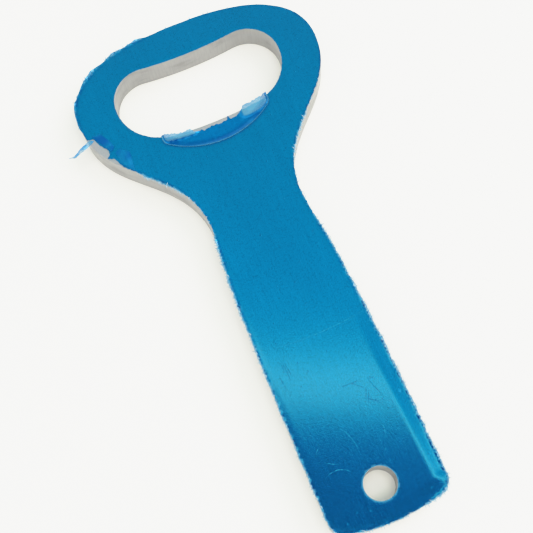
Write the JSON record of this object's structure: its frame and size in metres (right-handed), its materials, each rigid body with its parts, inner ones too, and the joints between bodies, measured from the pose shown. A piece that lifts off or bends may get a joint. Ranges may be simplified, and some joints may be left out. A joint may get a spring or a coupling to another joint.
{
  "type": "flat keychain bottle opener",
  "caption": "Flat aluminium keychain bottle opener: oval head with a crown cap opening and pressed lip, waisted handle, keyring hole, protective film with torn edges.",
  "frame": {"origin": "centre of the keyring hole on the underside of the aluminium plate", "axes": "+Y from the keyring hole along the handle to the head, +Z out of the front face that has the pressed lip recess, +X to the right when the front face is seen with the head up"},
  "size_m": [0.0531, 0.1032, 0.0063],
  "materials": {
    "plate_metal": "satin sheared edge, brushed faces",
    "front_film": "blue protective film, satin, pressed onto the brushed metal",
    "back_film": "blue protective film, satin",
    "lip_film": "blue protective film, stretched glossy in the recess",
    "folded_film": "blue protective film, folded double",
    "torn_film": "single loose layer of blue film, see-through"
  },
  "bodies": {
    "root": {"opener_plate": "plate_metal", "front_film": "front_film", "back_film": "back_film", "lip_film": "lip_film", "upper_flap": "folded_film", "lower_flap": "folded_film", "torn_sliver": "torn_film"}
  },
  "joints": []
}
